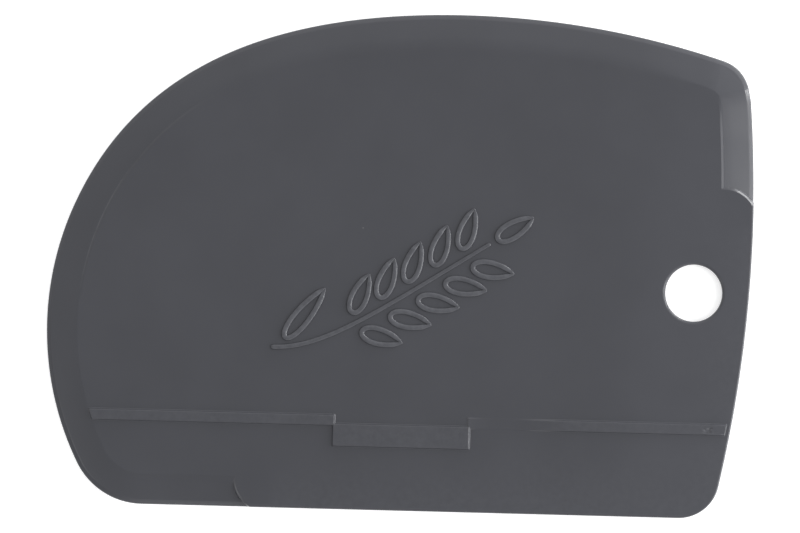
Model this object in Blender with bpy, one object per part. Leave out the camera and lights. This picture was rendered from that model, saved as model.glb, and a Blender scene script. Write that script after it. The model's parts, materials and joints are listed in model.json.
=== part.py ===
# A dough scraper: one D-shaped plate of moulded plastic. It has a straight edge at full thickness,
# a bevelled scraping lip that runs round the curved side, a low ridge in two halves with a tab
# between them, and a round hang hole. It lies on its flat back: +Z comes out of the front face,
# +X runs along the straight edge, -Y is the side of that edge, and the origin is under the middle
# of the plate. In plan, points and directions are complex numbers, and the edge is followed
# anticlockwise, so the plate lies to the left of the direction of travel.

import bmesh
import bpy
from cmath import phase, rect
from math import acos, ceil, pi, radians, sqrt, tan

MM = 0.001

# Plate
LENGTH = 120.0 * MM
WIDTH = 84.8 * MM
THICKNESS = 2.0 * MM
EDGE_CHAMFER = 0.3 * MM

# Outline: right side, its rounded foot and the short slanted run above it
SIDE_RADIUS = 223.5 * MM
SIDE_BULGE_HEIGHT = 51.6 * MM
FOOT_RADIUS = 6.9 * MM
SLANT_DROP = 13.6 * MM
SLANT_LEAN = radians(11.4)

# Outline: top arc, from the corner to the crest
TOP_RADIUS = 149.5 * MM
CREST_FROM_RIGHT = 49.9 * MM
CREST_HANDLE = 33.7 * MM

# Outline: left side, the shoulder where it meets the crest's curve, and the heel below it
LEFT_RADIUS = 51.9 * MM
LEFT_BULGE_HEIGHT = 30.5 * MM
SHOULDER_HEIGHT = 50.8 * MM
SHOULDER_HANDLE = 25.3 * MM
HEEL_RADIUS = 12.6 * MM

# Scraping lip: a wide bevel with a steeper rim, and the round walls in which it runs out
LIP_WIDTH = 5.2 * MM
LIP_EDGE = 0.9 * MM
LIP_RIM_WIDTH = 0.8 * MM
LIP_RIM_DROP = 0.35 * MM
LIP_CORNER_RADIUS = 1.2 * MM
RUNOUT_OVERHANG = 0.8 * MM
RUNOUT_DRAFT = radians(20.0)
FOOT_RUNOUT_FROM_RIGHT = 81.6 * MM
SIDE_RUNOUT_HEIGHT = 50.4 * MM

# Ridge, parallel to the straight edge, and the tab that fills the gap below it
RIDGE_HEIGHT_ABOVE_EDGE = 14.45 * MM
RIDGE_WIDTH = 1.5 * MM
RIDGE_RISE = 0.4 * MM
RIDGE_END_MARGIN = 0.9 * MM
RIDGE_LIP_GAP = 0.2 * MM
TAB_FROM_RIGHT = 47.65 * MM
TAB_LENGTH = 23.0 * MM
TAB_WIDTH = 3.5 * MM
TAB_RISE = 0.4 * MM
RELIEF_DRAFT = radians(40.0)

# Hang hole
HOLE_RADIUS = 4.85 * MM
HOLE_FROM_RIGHT = 9.85 * MM
HOLE_HEIGHT = 38.4 * MM
HOLE_CHAMFER = 0.3 * MM

# Modelling
CURVE_TOLERANCE = 0.012 * MM
CREST_CURVE_STEPS = 26
ROUND_SIDES = 64
OVERCUT = 1.0 * MM
OVERLAP = 0.3 * MM

RIGHT = LENGTH / 2
STRAIGHT_EDGE = -WIDTH / 2
CREST = complex(RIGHT - CREST_FROM_RIGHT, WIDTH / 2)
SIDE_CENTRE = complex(RIGHT - SIDE_RADIUS, STRAIGHT_EDGE + SIDE_BULGE_HEIGHT)
LEFT_CENTRE = complex(-LENGTH / 2 + LEFT_RADIUS, STRAIGHT_EDGE + LEFT_BULGE_HEIGHT)
TOP_CENTRE = CREST - 1j * TOP_RADIUS
CORNER_RADIUS = LIP_WIDTH + LIP_CORNER_RADIUS
LIP_SLOPE = (THICKNESS - LIP_EDGE) / LIP_WIDTH


def inward(heading):
    """Unit vector into the plate, square to the direction of travel"""
    return 1j * rect(1.0, heading)


def heading_on(centre, point):
    """Direction of travel where an arc about centre passes point, from 0 to a full turn"""
    return (phase(point - centre) + pi / 2) % (2 * pi)


def height_on_arc(centre, radius, height, side):
    """Point of an arc at a height above the straight edge, on its right (1) or left (-1)"""
    rise = STRAIGHT_EDGE + height - centre.imag
    return complex(centre.real + side * sqrt(radius ** 2 - rise ** 2), STRAIGHT_EDGE + height)


def corner_centre(line_point, heading, centre, radius, corner, side):
    """Centre of a corner that touches a line and an arc, ahead (1) or behind (-1) along the line"""
    base = line_point + corner * inward(heading)
    offset = (centre - base) / rect(1.0, heading)
    reach = sqrt((radius - corner) ** 2 - offset.imag ** 2)
    return base + (offset.real + side * reach) * rect(1.0, heading)


def arc(centre, radius, start, end):
    """Edge stations along an arc, each a point and the vector that leads from it into the plate"""
    step = 2 * acos(1 - CURVE_TOLERANCE / radius)
    count = max(2, ceil((end - start) / step))
    stations = []
    for index in range(count + 1):
        vector = inward(start + (end - start) * index / count)
        stations.append((centre - radius * vector, vector))
    return stations


def crest_curve():
    """Edge stations between the crest and the shoulder, on a cubic curve tangent to its neighbours"""
    shoulder = height_on_arc(LEFT_CENTRE, LEFT_RADIUS, SHOULDER_HEIGHT, -1)
    heading = heading_on(LEFT_CENTRE, shoulder)
    first_handle = CREST - CREST_HANDLE
    last_handle = shoulder - SHOULDER_HANDLE * rect(1.0, heading)
    stations = []
    for index in range(1, CREST_CURVE_STEPS):
        t = index / CREST_CURVE_STEPS
        u = 1 - t
        point = u ** 3 * CREST + 3 * u * u * t * first_handle
        point += 3 * u * t * t * last_handle + t ** 3 * shoulder
        travel = u * u * (first_handle - CREST) + 2 * u * t * (last_handle - first_handle)
        travel += t * t * (shoulder - last_handle)
        stations.append((point, inward(phase(travel))))
    return stations


def curved_side(side_start):
    """Edge stations from a heading on the right side, round the curved side, to the heel's end"""
    slant_heading = pi / 2 + SLANT_LEAN
    slant_start = height_on_arc(SIDE_CENTRE, SIDE_RADIUS, WIDTH - SLANT_DROP, 1)
    bend_heading = heading_on(SIDE_CENTRE, slant_start)
    side = arc(SIDE_CENTRE, SIDE_RADIUS, side_start, bend_heading)
    before, after = inward(bend_heading), inward(slant_heading)
    both = before + after
    bend = (slant_start, both / (1 + (before * after.conjugate()).real))

    corner = corner_centre(slant_start, slant_heading, TOP_CENTRE, TOP_RADIUS, CORNER_RADIUS, 1)
    top_heading = heading_on(TOP_CENTRE, corner)
    top_corner = arc(corner, CORNER_RADIUS, slant_heading, top_heading)
    top = arc(TOP_CENTRE, TOP_RADIUS, top_heading, pi)

    shoulder = height_on_arc(LEFT_CENTRE, LEFT_RADIUS, SHOULDER_HEIGHT, -1)
    heel = corner_centre(1j * STRAIGHT_EDGE, 0.0, LEFT_CENTRE, LEFT_RADIUS, HEEL_RADIUS, -1)
    heel_heading = heading_on(LEFT_CENTRE, heel)
    left = arc(LEFT_CENTRE, LEFT_RADIUS, heading_on(LEFT_CENTRE, shoulder), heel_heading)
    heel_corner = arc(heel, HEEL_RADIUS, heel_heading, 2 * pi)
    return side[:-1] + [bend] + top_corner + top[1:] + crest_curve() + left + heel_corner[1:]


def plate_outline():
    """Edge stations all round the plate, from the start of the foot corner"""
    foot = corner_centre(1j * STRAIGHT_EDGE, 0.0, SIDE_CENTRE, SIDE_RADIUS, FOOT_RADIUS, 1)
    side_heading = heading_on(SIDE_CENTRE, foot)
    return arc(foot, FOOT_RADIUS, 0.0, side_heading)[:-1] + curved_side(side_heading)


def lip_outline():
    """Edge stations along the lip, from its run-out on the right side to that on the straight edge"""
    start = height_on_arc(SIDE_CENTRE, SIDE_RADIUS, SIDE_RUNOUT_HEIGHT, 1)
    end = complex(RIGHT - FOOT_RUNOUT_FROM_RIGHT, STRAIGHT_EDGE)
    return curved_side(heading_on(SIDE_CENTRE, start)) + [(end, inward(0.0))]


def add_object(name, bm):
    """New object in the scene from a bmesh, with its faces pointing out"""
    bmesh.ops.recalc_face_normals(bm, faces=bm.faces)
    mesh = bpy.data.meshes.new(name)
    bm.to_mesh(mesh)
    bm.free()
    made = bpy.data.objects.new(name, mesh)
    bpy.context.collection.objects.link(made)
    return made


def ring(bm, stations, inset, z):
    """Row of vertices at an inset from the edge stations"""
    places = [point + inset * vector for point, vector in stations]
    return [bm.verts.new((place.real, place.imag, z)) for place in places]


def join_rows(bm, lower, upper, closed):
    """Strip of faces between two rows of vertices"""
    count = len(lower)
    for index in range(count if closed else count - 1):
        after = (index + 1) % count
        bm.faces.new((lower[index], lower[after], upper[after], upper[index]))


def loft_plate(name):
    """The full plate, chamfered along both faces"""
    stations = plate_outline()
    bm = bmesh.new()
    section = [
        (EDGE_CHAMFER, 0.0),
        (0.0, EDGE_CHAMFER),
        (0.0, THICKNESS - EDGE_CHAMFER),
        (EDGE_CHAMFER, THICKNESS),
    ]
    rows = [ring(bm, stations, inset, z) for inset, z in section]
    for lower, upper in zip(rows, rows[1:]):
        join_rows(bm, lower, upper, True)
    bm.faces.new(reversed(rows[0]))
    bm.faces.new(rows[-1])
    return add_object(name, bm)


def lip_cutter(name):
    """What the mould leaves out over the lip: a wedge along the lip's stretch of the edge"""
    stations = lip_outline()
    rim_height = LIP_EDGE + LIP_SLOPE * LIP_RIM_WIDTH
    rim_slope = (rim_height - (LIP_EDGE - LIP_RIM_DROP)) / LIP_RIM_WIDTH
    reach = LIP_CORNER_RADIUS / 2
    above = THICKNESS + OVERCUT
    section = [
        (-OVERCUT, rim_height - rim_slope * (LIP_RIM_WIDTH + OVERCUT)),
        (LIP_RIM_WIDTH, rim_height),
        (LIP_WIDTH + reach, THICKNESS + LIP_SLOPE * reach),
        (LIP_WIDTH + reach, above),
        (-OVERCUT, above),
    ]
    bm = bmesh.new()
    rows = [ring(bm, stations, inset, z) for inset, z in section]
    for lower, upper in zip(rows, rows[1:] + rows[:1]):
        join_rows(bm, lower, upper, False)
    bm.faces.new([row[0] for row in rows])
    bm.faces.new([row[-1] for row in reversed(rows)])
    return add_object(name, bm)


def runout_post(name, centre):
    """Round, drafted end of the full-thickness plate where the lip stops"""
    low, high = -OVERCUT, THICKNESS + OVERCUT
    radius = LIP_WIDTH + RUNOUT_OVERHANG
    bm = bmesh.new()
    bmesh.ops.create_cone(
        bm,
        cap_ends=True,
        segments=ROUND_SIDES,
        radius1=radius + (THICKNESS - low) * tan(RUNOUT_DRAFT),
        radius2=radius - (high - THICKNESS) * tan(RUNOUT_DRAFT),
        depth=high - low,
    )
    bmesh.ops.translate(bm, verts=bm.verts, vec=(centre.real, centre.imag, (low + high) / 2))
    return add_object(name, bm)


def raised_block(name, corners, rise):
    """Low block on the front face, with drafted walls; its top outline is given"""
    bm = bmesh.new()
    spread = (rise + OVERLAP) * tan(RELIEF_DRAFT)
    count = len(corners)
    low, high = [], []
    for index, corner in enumerate(corners):
        before = inward(phase(corner - corners[index - 1]))
        after = inward(phase(corners[(index + 1) % count] - corner))
        mitre = (before + after) / (1 + (before * after.conjugate()).real)
        base = corner - spread * mitre
        low.append(bm.verts.new((base.real, base.imag, THICKNESS - OVERLAP)))
        high.append(bm.verts.new((corner.real, corner.imag, THICKNESS + rise)))
    join_rows(bm, low, high, True)
    bm.faces.new(reversed(low))
    bm.faces.new(high)
    return add_object(name, bm)


def tab_block():
    """The tab between the ridge's halves"""
    top = STRAIGHT_EDGE + RIDGE_HEIGHT_ABOVE_EDGE
    right = RIGHT - TAB_FROM_RIGHT
    corners = [
        complex(right - TAB_LENGTH, top - TAB_WIDTH),
        complex(right, top - TAB_WIDTH),
        complex(right, top),
        complex(right - TAB_LENGTH, top),
    ]
    return raised_block("tab_block", corners, TAB_RISE)


def ridge_blocks():
    """The ridge's two halves: the left one ends along the lip, the right one along the plate's side"""
    low = RIDGE_HEIGHT_ABOVE_EDGE
    high = low + RIDGE_WIDTH
    left_arc = LEFT_RADIUS - LIP_WIDTH - RIDGE_LIP_GAP
    side_arc = SIDE_RADIUS - RIDGE_END_MARGIN
    tab_right = RIGHT - TAB_FROM_RIGHT
    tab_left = tab_right - TAB_LENGTH
    left_half = [
        height_on_arc(LEFT_CENTRE, left_arc, low, -1),
        complex(tab_left, STRAIGHT_EDGE + low),
        complex(tab_left, STRAIGHT_EDGE + high),
        height_on_arc(LEFT_CENTRE, left_arc, high, -1),
    ]
    right_half = [
        complex(tab_right, STRAIGHT_EDGE + low),
        height_on_arc(SIDE_CENTRE, side_arc, low, 1),
        height_on_arc(SIDE_CENTRE, side_arc, high, 1),
        complex(tab_right, STRAIGHT_EDGE + high),
    ]
    left_block = raised_block("ridge_block_left", left_half, RIDGE_RISE)
    right_block = raised_block("ridge_block_right", right_half, RIDGE_RISE)
    return [left_block, right_block]


def hole_cutter():
    """The hang hole with its chamfer at both faces, as a turned plug"""
    centre = complex(RIGHT - HOLE_FROM_RIGHT, STRAIGHT_EDGE + HOLE_HEIGHT)
    wide = HOLE_RADIUS + HOLE_CHAMFER + OVERCUT
    section = [
        (wide, -OVERCUT),
        (HOLE_RADIUS, HOLE_CHAMFER),
        (HOLE_RADIUS, THICKNESS - HOLE_CHAMFER),
        (wide, THICKNESS + OVERCUT),
    ]
    bm = bmesh.new()
    rows = []
    for radius, z in section:
        places = [centre + rect(radius, 2 * pi * k / ROUND_SIDES) for k in range(ROUND_SIDES)]
        rows.append([bm.verts.new((place.real, place.imag, z)) for place in places])
    for lower, upper in zip(rows, rows[1:]):
        join_rows(bm, lower, upper, True)
    bm.faces.new(reversed(rows[0]))
    bm.faces.new(rows[-1])
    return add_object("hole_cutter", bm)


def boolean(target, tool, operation):
    """Exact boolean that stays live on target; its tool is a guide, not a part"""
    modifier = target.modifiers.new(tool.name, "BOOLEAN")
    modifier.operation = operation
    modifier.object = tool
    modifier.solver = "EXACT"
    tool.hide_render = True
    tool.display_type = "WIRE"


def polypropylene():
    """Dark grey moulded polypropylene with a satin surface"""
    material = bpy.data.materials.new("polypropylene")
    material.use_nodes = True
    shader = material.node_tree.nodes["Principled BSDF"]
    shader.inputs["Base Color"].default_value = (0.080, 0.084, 0.093, 1.0)
    shader.inputs["Metallic"].default_value = 0.0
    shader.inputs["Roughness"].default_value = 0.42
    return material


def build():
    """The whole scraper, as one moulded piece"""
    for old in list(bpy.data.objects):
        bpy.data.objects.remove(old)

    cutter = lip_cutter("lip_cutter")
    lip_stations = lip_outline()
    side_point, side_vector = lip_stations[0]
    foot_point, foot_vector = lip_stations[-1]
    posts = [
        runout_post("side_runout_post", side_point + LIP_WIDTH * side_vector),
        runout_post("foot_runout_post", foot_point + LIP_WIDTH * foot_vector),
    ]
    for post in posts:
        boolean(cutter, post, "DIFFERENCE")

    plate = loft_plate("scraper_plate")
    plate.data.materials.append(polypropylene())
    boolean(plate, cutter, "DIFFERENCE")
    for block in ridge_blocks() + [tab_block()]:
        boolean(plate, block, "UNION")
    boolean(plate, hole_cutter(), "DIFFERENCE")
    plate.data.shade_smooth()
    plate.data.set_sharp_from_angle(angle=radians(20.0))


build()
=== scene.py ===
# The looks of a moulded plastic dough scraper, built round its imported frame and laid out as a
# Blender add-on: sizes and colours in property groups, one operator a piece, one panel, and a
# main function that runs them in order. Lengths are in metres. In plan, points and directions
# are complex numbers, and the plate's edge is followed anticlockwise, with the plate on its left.

import json
from cmath import phase, rect
from functools import partial
from math import acos, ceil, cos, pi, radians, sin, sqrt

import bpy
import numpy as np
from bpy.props import FloatProperty, FloatVectorProperty, IntProperty, PointerProperty
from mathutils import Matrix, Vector
from mathutils.geometry import delaunay_2d_cdt


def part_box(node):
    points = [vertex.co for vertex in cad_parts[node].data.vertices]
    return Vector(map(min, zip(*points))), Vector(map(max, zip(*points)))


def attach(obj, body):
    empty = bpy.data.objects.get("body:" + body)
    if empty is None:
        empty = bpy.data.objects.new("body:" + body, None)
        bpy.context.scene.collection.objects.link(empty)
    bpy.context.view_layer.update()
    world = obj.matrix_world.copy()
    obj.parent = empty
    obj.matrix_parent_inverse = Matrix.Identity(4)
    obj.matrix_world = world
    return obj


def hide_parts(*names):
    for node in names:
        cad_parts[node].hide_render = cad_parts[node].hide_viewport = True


bl_info = {
    "name": "Dough scraper",
    "version": (1, 0, 0),
    "blender": (4, 5, 0),
    "location": "3D View > Sidebar > Dough Scraper",
    "description": "Builds a moulded dough scraper with a scraping lip and an embossed wheat ear",
    "category": "Object",
}

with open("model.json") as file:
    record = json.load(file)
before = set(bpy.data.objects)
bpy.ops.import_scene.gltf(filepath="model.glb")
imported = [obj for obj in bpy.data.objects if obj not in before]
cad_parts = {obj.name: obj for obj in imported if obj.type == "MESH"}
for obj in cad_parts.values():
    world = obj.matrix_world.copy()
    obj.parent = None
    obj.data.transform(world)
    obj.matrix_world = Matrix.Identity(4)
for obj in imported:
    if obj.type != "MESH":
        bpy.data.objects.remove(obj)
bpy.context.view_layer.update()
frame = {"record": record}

MM = 0.001

# Outline of the plate: its overall sizes come from the frame, to a tenth of a millimetre
PLATE_LOW, PLATE_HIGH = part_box("scraper_plate")
LENGTH = round(PLATE_HIGH.x - PLATE_LOW.x, 4)
WIDTH = round(PLATE_HIGH.y - PLATE_LOW.y, 4)
MOUNTS = {mount["name"]: mount for mount in frame["record"]["mounts"]}
THICKNESS = MOUNTS["front_face"]["pos_m"][2]
RIGHT = LENGTH / 2
STRAIGHT_EDGE = -WIDTH / 2

SIDE_RADIUS = 223.5 * MM
SIDE_BULGE_HEIGHT = 51.6 * MM
FOOT_RADIUS = 6.9 * MM
SLANT_DROP = 13.6 * MM
SLANT_LEAN = radians(11.4)
TOP_RADIUS = 149.5 * MM
CREST_FROM_RIGHT = 49.9 * MM
CREST_HANDLE = 33.7 * MM
CREST_CURVE_STEPS = 60
LEFT_RADIUS = 51.9 * MM
LEFT_BULGE_HEIGHT = 30.5 * MM
SHOULDER_HEIGHT = 50.8 * MM
SHOULDER_HANDLE = 25.3 * MM
HEEL_RADIUS = 12.6 * MM
CREST = complex(RIGHT - CREST_FROM_RIGHT, WIDTH / 2)
SIDE_CENTRE = complex(RIGHT - SIDE_RADIUS, STRAIGHT_EDGE + SIDE_BULGE_HEIGHT)
LEFT_CENTRE = complex(-LENGTH / 2 + LEFT_RADIUS, STRAIGHT_EDGE + LEFT_BULGE_HEIGHT)
TOP_CENTRE = CREST - 1j * TOP_RADIUS

# Lip: where it lies, and where it runs out in a round wall
LIP_WIDTH = 5.2 * MM
LIP_CORNER_RADIUS = 1.2 * MM
CORNER_RADIUS = LIP_WIDTH + LIP_CORNER_RADIUS
CORNER_FACET_DROP = 0.8 * MM
CORNER_FACET_TURN = radians(36.0)
CORNER_FACET_SLOPE = 1.2
CORNER_FACET_REACH = 9.0 * MM
RUNOUT_RADIUS = 6.0 * MM
WALL_START = -0.2 * MM
FOOT_WALL_START = -0.34 * MM
FOOT_RUNOUT_FROM_RIGHT = 81.6 * MM
SIDE_RUNOUT_HEIGHT = 50.4 * MM

# Ridge in two halves, the tab between them, and the hang hole
RIDGE_LOW = STRAIGHT_EDGE + 14.45 * MM
RIDGE_HIGH = RIDGE_LOW + 1.5 * MM
RIDGE_END_MARGIN = 0.9 * MM
RIDGE_LIP_GAP = 0.2 * MM
TAB_RIGHT = RIGHT - 47.65 * MM
TAB_LEFT = TAB_RIGHT - 23.0 * MM
TAB_LOW = RIDGE_LOW - 3.5 * MM
DENTS_CENTRE = complex(RIGHT - 6.7 * MM, RIDGE_LOW + 0.8 * MM)
DENTS_REACH = 1.5 * MM
HOLE_RADIUS = 4.85 * MM
HOLE_CENTRE = complex(RIGHT - 9.85 * MM, STRAIGHT_EDGE + 38.4 * MM)

# Finer forms of the moulding. A span says from where to where, or over what length, a form comes or
# goes along X or Y, and for the foot's wall away from the edge. The flush shares are of the ridge's
# rise, beside the tab and where it is least. RUBBED numbers are shares of the paler plastic.
END_WALL_STEEPNESS = 3
SOFT_TOP_SPAN = (8 * MM, 24 * MM)
CRISP_END_SPAN = (40 * MM, 50 * MM)
STEP_END_SPAN = 9 * MM
STEP_LOW_SPAN = (-8 * MM, 0.0)
STEP_TOP_SPAN = (23 * MM, 30 * MM)
FOOT_BASE_SPAN = (0.4 * MM, 1.6 * MM)
FOOT_LEAST_DRAFT = radians(8.0)
FLUSH_SPAN = 2.5 * MM
FLUSH_SHARES = (0.35, 0.03)
DENT_GRAIN = 0.8 * MM
RUBBED_RIM = 0.5
RUBBED_RIDGE = 0.3
RUBBED_LINES = 0.9
# Painted highlight: a paler line along the lip's crease near the left-hand end, standing in for light
# caught by a flank that faces the lights. Its share of the paler colour, where it comes in along Y and
# along X, and its width.
PAINTED_HIGHLIGHT_SHARE = 0.8
PAINTED_HIGHLIGHT_LOW_SPAN = (-6 * MM, -2 * MM)
PAINTED_HIGHLIGHT_LEFT_SPAN = (-46 * MM, -49 * MM)
PAINTED_HIGHLIGHT_WIDTH = 0.16 * MM

# Raised lines of the ear. The top, the foot and the fillet are shares of the stroke's width. The
# taper and the drop's tip scale its section, the drop's point is the power that draws it in towards
# its tip, and its half width, before that, is a share of its width.
STROKE_TOP = 0.32
STROKE_FOOT = 1.68
STROKE_FILLET = 0.25
STROKE_TAPER = (0.9, 0.75)
DROP_POINT = 0.35
DROP_HALF_WIDTH = 0.61
DROP_TIP = 0.5

# What the photograph shows: its width, measured at the height of the plate's edge, and its centre
SEEN_WIDTH = 136.5 * MM
SEEN_HEIGHT = 0.6 * MM
SEEN_CENTRE = complex(-0.03 * MM, -0.76 * MM)
SEEN_TURN = radians(1.495)

# Fineness of the mesh: how far apart its lines and points lie, and how many there are
CURVE_TOLERANCE = 0.002 * MM
STATION_SPACING = 1.5 * MM
FINE_SPACING = 0.12 * MM
STROKE_STEP = 0.15 * MM
SOFT_CREASE_SPACING = 0.4 * MM
RUNOUT_ROW_SPACING = 0.05 * MM
RUNOUT_SPREAD = 1.0 * MM
GUARD = 0.06 * MM
ROUND_STEPS = 6
WALL_STEPS = 6
HOLE_SIDES = 120
STEM_STEPS = 48
DROP_SIDES = 128

# Kinds of node that most formulas here are made of
MATH = "ShaderNodeMath"
MAP_RANGE = "ShaderNodeMapRange"

# Studio: metres, degrees. Each light has its name, its turn from +X and its lean from straight
# above, its width and height, and the property with its power.
FLOOR_HALF = 6.0
LIGHT_DISTANCE = 0.8
LIGHTS = (
    ("key_light", 18.0, 66.0, 0.12, 0.12, "key_power"),
    ("low_light", 45.0, 84.0, 0.5, 0.16, "low_power"),
    ("side_light", -6.0, 77.5, 0.85, 0.18, "side_power"),
    ("fill_light", 210.0, 48.0, 0.25, 0.25, "fill_power"),
    ("scrim", -8.0, 47.0, 0.2, 0.58, "scrim_power"),
)
LENS = 300.0
SENSOR_WIDTH = 36.0


def linear(code):
    """Linear light of an sRGB hex colour"""
    shares = [int(code[place:place + 2], 16) / 255 for place in (1, 3, 5)]
    return [s / 12.92 if s <= 0.04045 else ((s + 0.055) / 1.055) ** 2.4 for s in shares]


def in_mm(label, description, default, low, high):
    """Property for a length, its numbers given in millimetres"""
    return FloatProperty(
        name=label, description=description, default=default * MM, min=low * MM, max=high * MM,
        precision=5, unit="LENGTH",
    )


def in_degrees(label, description, default, low, high):
    """Property for an angle, its numbers given in degrees"""
    return FloatProperty(
        name=label, description=description, default=radians(default), min=radians(low),
        max=radians(high), subtype="ANGLE",
    )


def as_share(label, description, default, low, high):
    """Property for a share of a whole"""
    return FloatProperty(
        name=label, description=description, default=default, min=low, max=high, subtype="FACTOR"
    )


def on_face(label, description, x, y):
    """Property for a point on the front face, given in millimetres"""
    return FloatVectorProperty(
        name=label, description=description, default=(x * MM, y * MM), size=2, precision=5,
        subtype="XYZ_LENGTH",
    )


def as_colour(label, description, code):
    """Property for a colour, given as an sRGB hex value"""
    return FloatVectorProperty(
        name=label, description=description, default=linear(code), size=3, min=0.0, max=1.0,
        subtype="COLOR",
    )


def in_watts(label, description, default):
    """Property for the power of a light"""
    return FloatProperty(name=label, description=description, default=default, min=0.0, unit="POWER")


def brightness(label, description, default):
    """Property for light that comes from a surface or from the room"""
    return FloatProperty(name=label, description=description, default=default, min=0.0)


class PlateSizes(bpy.types.PropertyGroup):
    """Finishing sizes of the moulded plate"""

    edge_round: in_mm("Edge rounding", "Radius along the full-thickness edges", 0.3, 0.05, 0.6)
    hole_round: in_mm("Hole rounding", "Radius round both rims of the hang hole", 0.5, 0.05, 0.8)
    lip_edge: in_mm(
        "Lip edge", "Thickness that the bevel would have at the lip's edge without its rim",
        0.9, 0.5, 1.5,
    )
    lip_crown: in_mm("Lip crown", "How far the bevel bulges in its middle", 0.05, 0.0, 0.1)
    rim_width: in_mm("Rim width", "Width of the steeper rim along the lip", 0.75, 0.1, 2.0)
    rim_drop: in_mm("Rim drop", "How far the rim falls below the bevel", 0.27, 0.0, 0.5)
    rim_round: in_mm("Rim rounding", "Rounding of the lip's very edge", 0.14, 0.01, 0.3)
    side_draft: in_degrees(
        "Side run-out draft", "Lean of the round wall in which the lip ends on the right-hand side",
        14.0, 5.0, 60.0,
    )
    side_chamfer: in_mm(
        "Side run-out chamfer", "Width of the chamfer along the top of that wall", 0.4, 0.0, 1.0
    )
    side_chamfer_tilt: in_degrees(
        "Side run-out chamfer tilt", "Angle between that chamfer and the front face",
        41.0, 0.0, 80.0,
    )
    foot_draft: in_degrees(
        "Foot run-out draft", "Lean of the round wall in which the lip ends on the straight edge",
        27.0, 5.0, 60.0,
    )
    foot_chamfer: in_mm(
        "Foot run-out chamfer", "Width of the chamfer along the top of that wall", 0.3, 0.0, 1.0
    )
    foot_chamfer_tilt: in_degrees(
        "Foot run-out chamfer tilt", "Angle between that chamfer and the front face",
        23.0, 0.0, 80.0,
    )
    relief_rise: in_mm(
        "Ridge rise", "How far the ridge and the tab stand out of the front face", 0.4, 0.1, 0.4
    )
    relief_wall: in_mm(
        "Ridge wall", "Width in plan of the sloping walls of the ridge and the tab", 0.34, 0.1, 0.5
    )
    ridge_flush: in_mm(
        "Ridge flush", "Length beside the tab where the right half of the ridge hardly stands out",
        7.5, 0.0, 20.0,
    )
    ridge_fade: in_mm(
        "Ridge fade", "Length over which the right half of the ridge then comes up",
        11.0, 1.0, 40.0,
    )
    dent_depth: in_mm(
        "Dent depth", "Depth of the small dents that knocks have left on the ridge", 0.1, 0.0, 0.2
    )
    crease_round: in_mm("Crease rounding", "Softness of the creases round the lip", 0.03, 0.01, 0.3)
    top_crease_round: in_mm(
        "Top crease rounding", "Softness of the lip's crease along the top, where it is hardly seen",
        0.35, 0.01, 0.5,
    )
    step_drop: in_mm(
        "Step drop", "Height of the fine step along the lip's crease, near the plate's ends",
        0.13, 0.0, 0.2,
    )
    step_width: in_mm("Step width", "Width of the fine step along the lip's crease", 0.36, 0.05, 1.0)


class EarSizes(bpy.types.PropertyGroup):
    """Sizes and place of the embossed wheat ear"""

    stem_start: on_face("Stem start", "Cut end of the stem on the front face", -21.8, -15.0)
    stem_first_handle: on_face(
        "First handle", "Point towards which the stem leaves its cut end", -13.0, -15.2
    )
    stem_last_handle: on_face("Last handle", "Point from which the stem comes to its tip", -5.0, -9.4)
    stem_tip: on_face("Stem tip", "Tip of the stem, just short of the last kernel", 15.4, 3.6)
    ear_from: as_share("Ear from", "Where on the stem the first pair of kernels stands", 0.32, 0.05, 0.9)
    ear_to: as_share("Ear to", "Where on the stem the last kernel has its root", 0.965, 0.1, 1.0)
    pairs: IntProperty(
        name="Pairs of kernels", description="Number of kernels on each side of the stem",
        default=5, min=1, max=20,
    )
    kernel_length: in_mm("Kernel length", "Length of a kernel, to the middle of its line", 7.0, 2.0, 12.0)
    kernel_width: in_mm("Kernel width", "Width of a kernel, to the middle of its line", 2.55, 1.0, 6.0)
    kernel_root: in_mm(
        "Kernel root", "Distance from the stem's middle to the kernels' foot", 2.8, 0.5, 6.0
    )
    kernel_lean: in_degrees("Kernel lean", "Angle between a kernel and the stem", 41.0, 0.0, 80.0)
    leaf_at: as_share("Leaf at", "Where on the stem the leaf has its root", 0.03, 0.0, 0.9)
    leaf_length: in_mm("Leaf length", "Length of the leaf, to the middle of its line", 10.6, 2.0, 20.0)
    leaf_width: in_mm("Leaf width", "Width of the leaf, to the middle of its line", 2.5, 1.0, 6.0)
    leaf_root: in_mm("Leaf root", "Distance from the stem's middle to the leaf's foot", 2.1, 0.5, 6.0)
    leaf_lean: in_degrees("Leaf lean", "Angle between the leaf and the stem", 50.0, 0.0, 80.0)
    stroke_width: in_mm("Stroke width", "Width of the raised lines at their foot", 1.25, 0.3, 1.5)
    stroke_rise: in_mm(
        "Stroke rise", "How far the raised lines stand out of the front face", 0.35, 0.1, 0.4
    )


class Finish(bpy.types.PropertyGroup):
    """Colours and surface of the plastic"""

    colour: as_colour("Colour", "Dyed polypropylene", "#3b3c41")
    # Also the colour of the painted highlight line along the lip's left crease
    rubbed_colour: as_colour(
        "Rubbed colour", "The same plastic where use has rubbed its edges", "#4b4c51"
    )
    dust_colour: as_colour("Dust colour", "Fine flour and dust on the plastic", "#8c8c90")
    roughness: as_share("Roughness", "Satin of the moulded surface", 0.24, 0.05, 1.0)


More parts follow.
